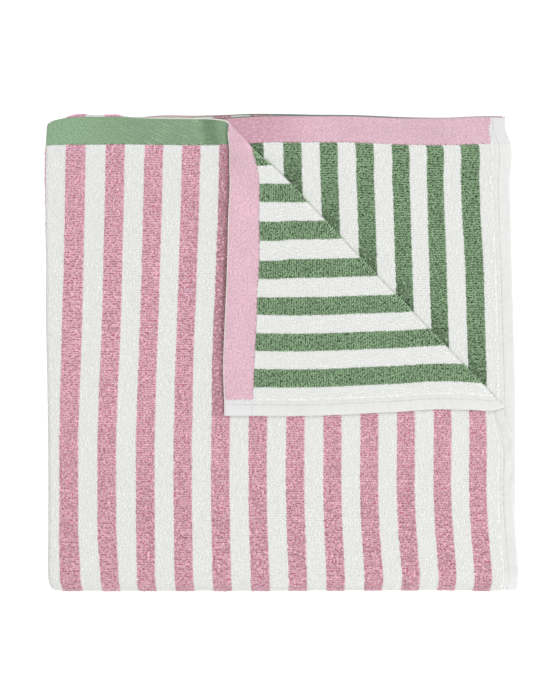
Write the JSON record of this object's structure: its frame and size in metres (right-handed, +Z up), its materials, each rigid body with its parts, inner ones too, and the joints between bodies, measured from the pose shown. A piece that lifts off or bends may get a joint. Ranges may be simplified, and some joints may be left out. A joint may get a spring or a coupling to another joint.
{
  "type": "bath towel",
  "caption": "Terry bath towel with striped faces and flat-woven end borders, folded flat into a square stack with one top corner turned back.",
  "frame": {"origin": "middle of the folded stack's footprint, on the surface that it lies on", "axes": "+Z up through the layers; +X across the towel, from the lengthwise fold to the side edges; +Y along the towel, from the rolled fold at the front to the hems at the back"},
  "size_m": [0.3558, 0.3584, 0.0325],
  "materials": {
    "cotton_terry": "cotton loop pile, matt and soft, with flat-woven end borders and side hems"
  },
  "bodies": {
    "root": {"towel": "cotton_terry"}
  },
  "joints": []
}
